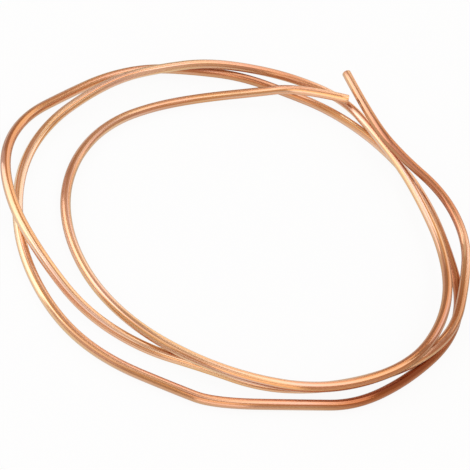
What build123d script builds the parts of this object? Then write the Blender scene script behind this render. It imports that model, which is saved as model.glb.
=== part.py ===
from build123d import *
from math import cos, radians, sin, tan
import os

# A loose coil of soft copper tube: one drawn, hollow length, bent by hand into three open turns that
# lie on a floor and pass over and under each other. The origin is on the floor at the coil's axis.

# Tube section: 3/16 inch outside diameter with a 0.030 inch wall
tube_diameter = 4.76
tube_wall = 0.76
end_chamfer = 0.15

# Coil: the mean radius of the turns, and the angles in degrees where the tube starts and how far it winds
coil_radius = 105.0
start_angle = 78.3
wound_angle = 1085.0

# Where the tube passes over itself, one tube clears the other by this much
crossing_clearance = 0.3

# A bend takes up this share of the shorter of the two straight runs that it joins
bend_share = 0.45

# The tube's middle line is set out at even angles round the axis, from the inner end to the outer one.
# A lane is how far a station lies outside the mean radius, in widths of tube and clearance, so turns
# that lie side by side stay so. Each group of lines is one turn.
lane_shares = [
    -0.50, -2.30, -4.90, -5.85, -6.15, -5.95, -5.20, -4.35, -3.45, -2.55, -1.85, -1.15,
    -0.45, -0.40, -0.20, 0.25, 0.55, 0.95, 0.45, -0.15, -1.00, -1.70, -1.60, -1.10,

    0.70, -0.10, -1.25, -1.85, -2.35, -2.00, -1.45, -0.15, 1.00, 1.95, 3.00, 3.75,
    3.55, 2.50, 2.50, 1.20, 1.85, 1.60, 2.10, 1.75, 0.35, -0.10, -0.30, -0.80,

    -1.35, -2.10, -1.90, -1.95, -1.15, -0.55, 0.20, 2.20, 3.10, 2.70, 1.75, 1.30,
    0.40, -0.85, -0.35, -0.35, 0.00, 1.05, 1.80, 1.50, 2.00, 1.05, -1.80, -1.15,
    2.90,
]

# Two sharper bends of the outer turn lie between the even angles, so the stations about them are moved
# along by these shares of the spacing.
station_shifts = {36: -0.15, 37: -0.15, 38: -0.60, 39: -0.20, 40: -0.35, 41: -0.25}

# How high each station lies above the floor, in the same widths: 0 rests on the floor, and 1 rests on
# a tube that does.
level_shares = [
    1.90, 1.45, 0.80, 0.25, 0.00, 0.00, 0.00, 0.00, 0.00, 0.00, 0.00, 0.25,
    0.90, 1.00, 1.00, 1.00, 1.20, 1.75, 1.75, 1.45, 1.20, 1.10, 1.05, 1.05,

    0.65, 0.60, 0.85, 1.05, 1.05, 1.00, 0.70, 0.15, 0.00, 0.00, 0.00, 0.00,
    0.00, 0.00, 0.00, 0.00, 0.00, 0.00, 0.00, 0.00, 0.00, 0.00, 0.00, 0.00,

    0.00, 0.00, 0.00, 0.00, 0.00, 0.00, 0.00, 0.25, 1.00, 1.15, 0.80, 0.15,
    0.00, 0.00, 0.00, 0.00, 0.15, 0.80, 1.00, 1.05, 1.30, 1.65, 2.15, 2.10,
    2.10,
]

# Sizes that follow from these
tube_radius = tube_diameter / 2
bore_radius = tube_radius - tube_wall
tube_pitch = tube_diameter + crossing_clearance
station_angle = wound_angle / (len(lane_shares) - 1)

# The route's corners
stations = []
for index, (lane, level) in enumerate(zip(lane_shares, level_shares)):
    angle = radians(start_angle + (index + station_shifts.get(index, 0)) * station_angle)
    reach = coil_radius + lane * tube_pitch
    height = tube_radius + level * tube_pitch
    stations.append(Vector(reach * cos(angle), reach * sin(angle), height))

# The bends that join the runs between them, each as wide as its shorter run allows
bend_radii = []
for before, corner, after in zip(stations, stations[1:], stations[2:]):
    run_in = corner - before
    run_out = after - corner
    bend_reach = bend_share * min(run_in.length, run_out.length)
    half_turn = radians(run_in.get_angle(run_out)) / 2
    bend_radii.append(bend_reach / tan(half_turn))

# The tube: a ring drawn along the route, with both cut ends lightly broken on the outside
with BuildPart() as copper_tube:
    with BuildLine() as route:
        FilletPolyline(*stations, radius=bend_radii)
    with BuildSketch(Plane(origin=route.line @ 0, z_dir=route.line % 0)):
        Circle(tube_radius)
        Circle(bore_radius, mode=Mode.SUBTRACT)
    sweep()
    for end_point in (route.line @ 0, route.line @ 1):
        cut_end = copper_tube.faces().sort_by_distance(end_point)[0]
        chamfer(cut_end.outer_wire().edges(), length=end_chamfer)

copper_tube.part.label = "copper_tube"
os.makedirs("parts", exist_ok=True)
export_step(copper_tube.part, "parts/copper_tube.step")

# What the route comes to: its length, its tightest bend, and the volume against section times length
tube_length = route.wire().length
section_area = copper_tube.part.volume / tube_length
print(f"length {tube_length:.1f} mm, tightest bend {min(bend_radii):.1f} mm, section {section_area:.3f} mm2")
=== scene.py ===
from math import cos, pi, radians, sin

import bpy
from mathutils import Matrix, Vector


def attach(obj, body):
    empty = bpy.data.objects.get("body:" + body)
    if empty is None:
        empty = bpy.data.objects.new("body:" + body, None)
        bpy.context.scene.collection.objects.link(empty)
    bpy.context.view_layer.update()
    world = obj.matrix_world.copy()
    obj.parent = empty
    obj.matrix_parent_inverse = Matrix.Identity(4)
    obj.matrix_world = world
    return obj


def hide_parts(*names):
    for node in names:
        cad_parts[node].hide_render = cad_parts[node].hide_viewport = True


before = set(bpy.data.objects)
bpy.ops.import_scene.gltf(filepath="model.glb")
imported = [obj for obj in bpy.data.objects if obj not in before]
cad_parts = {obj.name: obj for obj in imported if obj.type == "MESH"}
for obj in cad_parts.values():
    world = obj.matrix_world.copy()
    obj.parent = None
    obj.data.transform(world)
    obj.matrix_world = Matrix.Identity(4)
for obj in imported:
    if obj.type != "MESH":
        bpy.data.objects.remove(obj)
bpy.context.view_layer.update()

# The copper tube: one drawn length of soft copper, hollow, bent by hand into three loose turns that
# pass over and under each other on the floor. It is a smooth line that follows the turns' stations,
# given the tube's round section, a wall inside it and lightly broken cut ends. Lengths are in metres,
# and these angles in degrees.
tube_diameter = 0.00476
tube_wall = 0.00076
end_break = 0.00015
coil_radius = 0.105
start_angle = 78.3
wound_angle = 1085.0
crossing_clearance = 0.0003

# How far each station lies outside the mean radius, in widths of tube and clearance, from the inner
# end to the outer one. Each group of lines is one turn.
lane_shares = [
    -0.50, -2.30, -4.90, -5.85, -6.15, -5.95, -5.20, -4.35, -3.45, -2.55, -1.85, -1.15,
    -0.45, -0.40, -0.20, 0.25, 0.55, 0.95, 0.45, -0.15, -1.00, -1.70, -1.60, -1.10,

    0.70, -0.10, -1.25, -1.85, -2.35, -2.00, -1.45, -0.15, 1.00, 1.95, 3.00, 3.75,
    3.55, 2.50, 2.50, 1.20, 1.85, 1.60, 2.10, 1.75, 0.35, -0.10, -0.30, -0.80,

    -1.35, -2.10, -1.90, -1.95, -1.15, -0.55, 0.20, 2.20, 3.10, 2.70, 1.75, 1.30,
    0.40, -0.85, -0.35, -0.35, 0.00, 1.05, 1.80, 1.50, 2.00, 1.05, -1.80, -1.15,
    2.90,
]

# Two sharper bends of the outer turn lie between the even angles, so the stations about them are moved
# along by these shares of the spacing
station_shifts = {36: -0.15, 37: -0.15, 38: -0.60, 39: -0.20, 40: -0.35, 41: -0.25}

# How high each station lies above the floor, in the same widths
level_shares = [
    1.90, 1.45, 0.80, 0.25, 0.00, 0.00, 0.00, 0.00, 0.00, 0.00, 0.00, 0.25,
    0.90, 1.00, 1.00, 1.00, 1.20, 1.75, 1.75, 1.45, 1.20, 1.10, 1.05, 1.05,

    0.65, 0.60, 0.85, 1.05, 1.05, 1.00, 0.70, 0.15, 0.00, 0.00, 0.00, 0.00,
    0.00, 0.00, 0.00, 0.00, 0.00, 0.00, 0.00, 0.00, 0.00, 0.00, 0.00, 0.00,

    0.00, 0.00, 0.00, 0.00, 0.00, 0.00, 0.00, 0.25, 1.00, 1.15, 0.80, 0.15,
    0.00, 0.00, 0.00, 0.00, 0.15, 0.80, 1.00, 1.05, 1.30, 1.65, 2.15, 2.10,
    2.10,
]
tube_radius = tube_diameter / 2
tube_pitch = tube_diameter + crossing_clearance
last_station = len(lane_shares) - 1
station_angle = wound_angle / last_station

# The line, with the round section along it: its steps between stations, and the section's smoothness
line_steps = 12
section_smoothness = 10
bpy.ops.object.select_all(action="DESELECT")
bpy.ops.curve.primitive_nurbs_path_add()
tube = bpy.context.object
tube.name = "drawn_tube"
tube.data.splines.clear()
route = tube.data.splines.new("NURBS")
route.points.add(last_station)
for index, (lane, level) in enumerate(zip(lane_shares, level_shares)):
    angle = radians(start_angle + (index + station_shifts.get(index, 0)) * station_angle)
    reach = coil_radius + lane * tube_pitch
    height = tube_radius + level * tube_pitch
    route.points[index].co = (reach * cos(angle), reach * sin(angle), height, 1)
route.order_u = 3
route.use_endpoint_u = True
tube.data.resolution_u = line_steps
tube.data.twist_mode = "Z_UP"
tube.data.bevel_depth = tube_radius
tube.data.bevel_resolution = section_smoothness
bpy.ops.object.convert(target="MESH")


class Wire:
    """An output of a shader node: arithmetic on wires adds Math nodes, and add() adds any other node."""

    def __init__(self, tree, socket=None):
        self.tree = tree
        self.socket = socket

    def add(self, kind, settings=None, inputs=None, output=0):
        node = self.tree.nodes.new(kind)
        for name, value in (settings or {}).items():
            setattr(node, name, value)
        for name, value in (inputs or {}).items():
            if isinstance(value, Wire):
                self.tree.links.new(value.socket, node.inputs[name])
            else:
                node.inputs[name].default_value = value
        return Wire(self.tree, node.outputs[output]) if node.outputs else None

    def beside(self, output):
        """Another output of the same node."""
        return Wire(self.tree, self.socket.node.outputs[output])

    def math(self, operation, first, second=0):
        return self.add("ShaderNodeMath", {"operation": operation}, {0: first, 1: second})

    def __add__(self, other):
        return self.math("ADD", self, other)

    def __sub__(self, other):
        return self.math("SUBTRACT", self, other)

    def __mul__(self, other):
        return self.math("MULTIPLY", self, other)

    __radd__ = __add__


def new_finish(name):
    """A material with no nodes yet, and the wire that adds them."""
    finish = bpy.data.materials.new(name)
    finish.use_nodes = True
    finish.node_tree.nodes.clear()
    return finish, Wire(finish.node_tree)


def mixed_colour(wire, share, first, second, blend="MIX"):
    """Two colours mixed. A Mix node takes colours at its inputs 6 and 7 and gives one at its output 2."""
    settings = {"data_type": "RGBA", "blend_type": blend}
    return wire.add("ShaderNodeMix", settings, {0: share, 6: first, 7: second}, output=2)


def graded(place, stops):
    """A level that changes from stop to stop as the place runs from 0 to 1."""
    level_at_place = place.add("ShaderNodeValToRGB", inputs={0: place})
    elements = level_at_place.socket.node.color_ramp.elements
    while len(elements) < len(stops):
        elements.new(1)
    for element, (position, level) in zip(elements, stops):
        element.position = position
        element.color = (level, level, level, 1)
    return level_at_place


def mottle(wire, patches_per_metre, detail, roughness=0.5):
    """Noise that is the same in every direction."""
    place = wire.add("ShaderNodeTexCoord", output="Object")
    return wire.add("ShaderNodeTexNoise", inputs={
        "Vector": place, "Scale": patches_per_metre, "Detail": detail, "Roughness": roughness})


def metal_surface(wire, colour, roughness, more_inputs=None):
    """The metal that a finish ends in."""
    inputs = {"Base Color": colour, "Metallic": 1, "Roughness": roughness}
    inputs.update(more_inputs or {})
    metal = wire.add("ShaderNodeBsdfPrincipled", inputs=inputs)
    wire.add("ShaderNodeOutputMaterial", inputs={"Surface": metal})


# The outside, as it leaves the drawing die: bright copper with fine lines along the tube, slow bands
# of wear between them, and the dull patches that hands leave. Brown stretches along it are partly dull
# copper and partly painted shade. The tube's map has its length along the first axis and its way round
# along the second.
drawn_copper, drawn = new_finish("drawn_copper")
tube_map = drawn.add("ShaderNodeUVMap", {"uv_map": "UVMap"})
along_tube = drawn.add("ShaderNodeSeparateXYZ", inputs={0: tube_map})
ring_angle = along_tube.beside("Y") * (2 * pi)
ring_x = drawn.math("COSINE", ring_angle)
ring_y = drawn.math("SINE", ring_angle)


def drawn_lines(lines_round, lines_along, detail, roughness=0.6):
    """Noise that is stretched along the tube and has no seam round it."""
    ring_reach = lines_round / (2 * pi)
    place = drawn.add("ShaderNodeCombineXYZ", inputs={
        "X": ring_x * ring_reach, "Y": ring_y * ring_reach, "Z": along_tube * lines_along})
    return drawn.add("ShaderNodeTexNoise", inputs={
        "Vector": place, "Scale": 1, "Detail": detail, "Roughness": roughness})


die_lines = drawn_lines(lines_round=44, lines_along=16, detail=2)
wear_bands = drawn_lines(lines_round=17, lines_along=12, detail=1)
film_patches = drawn_lines(lines_round=6, lines_along=38, detail=2)
hand_marks = mottle(drawn, patches_per_metre=75, detail=3, roughness=0.55)

# How dull each stretch is, by its station: 0 is clean, 1 is brown. The brown is partly dulled copper and
# partly painted shade: dark stretches that stand in for dark reflections along the tube. The bands of wear
# make the ends of a stretch ragged, by this share of the tube's length.
dull_and_shaded_stretches = [
    (0, 0.0), (4, 0.5), (6, 0.1), (8, 0.5), (10, 0.1), (13, 0.1), (16, 0.6), (19, 0.6), (21, 0.0),
    (24, 0.1), (25, 0.7), (28, 0.0), (35, 0.0), (37, 0.5), (39, 0.4), (40, 1.0), (43, 1.0), (47, 0.0),
    (50, 0.7), (54, 0.1), (56, 0.6), (58, 0.0), (65, 0.2), (67, 0.7), (68, 0.1), (69, 0.8), (71, 0.8),
    (72, 0.2),
]
ragged_share = 0.016
dull_and_shaded_stops = [(station / last_station, level) for station, level in dull_and_shaded_stretches]
# Painted shade and dulling, graded along the tube
dullness_and_shade = graded(along_tube + wear_bands * ragged_share - ragged_share / 2, dull_and_shaded_stops)

# Clean copper, which wears along the lines and bands and turns brown where it is dull or where shade is
# painted on
clean_copper = (0.82, 0.62, 0.46, 1)
worn_copper = (0.84, 0.455, 0.23, 1)
# The brown is partly dull copper and partly painted shade for dark reflections
dull_and_shaded_copper = (0.43, 0.155, 0.07, 1)
line_wear = 3
band_wear = 3.5
wear_start = 2.8
worn_share = die_lines * line_wear + wear_bands * band_wear - wear_start
worn_colour = mixed_colour(drawn, worn_share, clean_copper, worn_copper)
bare_colour = mixed_colour(drawn, dullness_and_shade, worn_colour, dull_and_shaded_copper)

# A thin film turns it golden in some places and rosy in others
golden_film = (1, 1, 0.84, 1)
rosy_film = (1, 0.99, 1.13, 1)
film_contrast = 4
film_start = 1.5
film = mixed_colour(drawn, film_patches * film_contrast - film_start, golden_film, rosy_film)
copper_colour = mixed_colour(drawn, 1, bare_colour, film, blend="MULTIPLY")

# The polish, which the lines and the marks of hands roughen. The lines stretch the gloss round the
# tube, which takes a quarter turn from the way that the shader stretches it.
polish_roughness = 0.045
line_roughness = 0.19
mark_roughness = 0.07
quarter_turn = 0.25
relief_depth = 0.0003
edge_tint = (0.78, 0.77, 0.71, 1)
drawn_roughness = polish_roughness + die_lines * line_roughness + hand_marks * mark_roughness
relief = drawn.add("ShaderNodeBump", inputs={"Strength": 1, "Distance": relief_depth, "Height": wear_bands})
metal_surface(drawn, copper_colour, drawn_roughness, {
    "Normal": relief, "Specular Tint": edge_tint, "Anisotropic": 1, "Anisotropic Rotation": quarter_turn})
tube.data.materials.append(drawn_copper)


def plain_copper(name, pale, dark, patches_per_metre, polish, unevenness):
    """Copper without the drawn lines, mottled between two colours."""
    finish, wire = new_finish(name)
    patches = mottle(wire, patches_per_metre, detail=2)
    metal_surface(wire, mixed_colour(wire, patches, pale, dark), polish + patches * unevenness)
    return finish


# The cut ends: bare copper with the fine marks of the cutter
cut_copper = plain_copper(
    "cut_copper", pale=(0.68, 0.34, 0.19, 1), dark=(0.42, 0.17, 0.09, 1),
    patches_per_metre=2500, polish=0.22, unevenness=0.3)
tube.data.materials.append(cut_copper)

# The bore: duller copper that no hand reaches
bore_copper = plain_copper(
    "bore_copper", pale=(0.72, 0.33, 0.18, 1), dark=(0.50, 0.20, 0.11, 1),
    patches_per_metre=600, polish=0.35, unevenness=0.2)
tube.data.materials.append(bore_copper)

# The wall, from the outside inwards: its rim takes the second finish and the bore the third. Then the
# sharp edges of the cut ends are broken.
sharp_edge = radians(60)
smooth_edge = radians(35)
bpy.ops.object.modifier_add(type="SOLIDIFY")
wall = tube.modifiers[-1]
wall.thickness = tube_wall
wall.offset = -1
wall.material_offset_rim = 1
wall.material_offset = 2
bpy.ops.object.modifier_apply(modifier=wall.name)
bpy.ops.object.modifier_add(type="BEVEL")
broken_edge = tube.modifiers[-1]
broken_edge.width = end_break
broken_edge.segments = 2
broken_edge.limit_method = "ANGLE"
broken_edge.angle_limit = sharp_edge
bpy.ops.object.modifier_apply(modifier=broken_edge.name)
bpy.ops.object.shade_smooth_by_angle(angle=smooth_edge)

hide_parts("copper_tube")
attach(tube, "root")

# The floor: a white sheet under the coil, a little cool against the warm room, which takes the coil's
# shadow. The camera and the metal see it lifted towards white.
floor_side = 6.0
floor_lift = 0.92
sheet_colour = (0.8, 0.9, 0.98, 1)
bpy.ops.mesh.primitive_plane_add(size=floor_side)
floor = bpy.context.object
floor.name = "floor"
white_sheet, sheet = new_finish("white_sheet")
lit_paper = sheet.add("ShaderNodeBsdfDiffuse", inputs={"Color": sheet_colour})
lifted_paper = sheet.add("ShaderNodeEmission", inputs={"Strength": 1})
seen_directly = sheet.add("ShaderNodeLightPath", output="Is Camera Ray")
seen_in_metal = seen_directly.beside("Is Glossy Ray")
seen_through = seen_directly.beside("Is Transmission Ray")
seen = sheet.math("MAXIMUM", sheet.math("MAXIMUM", seen_directly, seen_in_metal), seen_through)
paper = sheet.add("ShaderNodeMixShader", inputs={0: seen * floor_lift, 1: lit_paper, 2: lifted_paper})
sheet.add("ShaderNodeOutputMaterial", inputs={"Surface": paper})
floor.data.materials.append(white_sheet)

# The light: soft boxes round the coil in a warm room, the largest and coolest at the left
white = (1, 1, 1)
daylight = (0.94, 1, 1.1)
cream = (1, 0.96, 0.86)
amber = (1, 0.82, 0.55)


def soft_box(name, bearing, rise, distance, width, height, level, tint=white):
    """A lamp that faces the coil. Its bearing is clockwise from the back, in degrees, as its rise is, and
    a level of 1 looks white.
    """
    turned = radians(bearing)
    raised = radians(rise)
    across = distance * cos(raised)
    place = Vector((across * sin(turned), across * cos(turned), distance * sin(raised)))
    facing = place.to_track_quat("Z", "Y").to_euler()
    bpy.ops.object.light_add(type="AREA", location=place, rotation=facing)
    lamp = bpy.context.object
    lamp.name = name
    lamp.data.shape = "RECTANGLE"
    lamp.data.size = width
    lamp.data.size_y = height
    lamp.data.energy = level * pi * width * height
    lamp.data.color = tint


soft_box("left_box", bearing=264, rise=20, distance=1.5, width=1.3, height=1.9, level=1.3, tint=daylight)
soft_box("left_fill", bearing=268, rise=30, distance=1.6, width=2.0, height=1.8, level=0.3, tint=daylight)
soft_box("right_box", bearing=147, rise=30, distance=1.5, width=0.9, height=1.5, level=1.1, tint=cream)
soft_box("back_box", bearing=15, rise=22, distance=1.8, width=1.8, height=1.4, level=0.95)
soft_box("overhead_box", bearing=40, rise=65, distance=1.4, width=1.3, height=0.6, level=1.3)
soft_box("front_box", bearing=208, rise=48, distance=1.6, width=1.2, height=1.3, level=0.65)
soft_box("right_fill", bearing=100, rise=25, distance=1.6, width=1.1, height=1.3, level=0.15, tint=amber)

room_colour = (0.55, 0.38, 0.28, 1)
world = bpy.data.worlds.new("studio")
bpy.context.scene.world = world
world.use_nodes = True
world.node_tree.nodes["Background"].inputs["Color"].default_value = room_colour

# The camera: the photograph's view, from in front and above, rolled about its line of sight
view_elevation = radians(45)
view_roll = radians(27)
view_distance = 0.6378
aim = Vector((0, -0.0171, 0))
image_side = 470
focal_pixels = 1340
sensor_side = 36
view_place = aim + view_distance * Vector((0, -cos(view_elevation), sin(view_elevation)))
view_turn = Matrix.Rotation(pi / 2 - view_elevation, 4, "X") @ Matrix.Rotation(view_roll, 4, "Z")
bpy.ops.object.camera_add(location=view_place, rotation=view_turn.to_euler())
camera = bpy.context.object
camera.data.sensor_width = sensor_side
camera.data.lens = sensor_side * focal_pixels / image_side
bpy.context.scene.camera = camera

bpy.context.scene.view_settings.view_transform = "Standard"
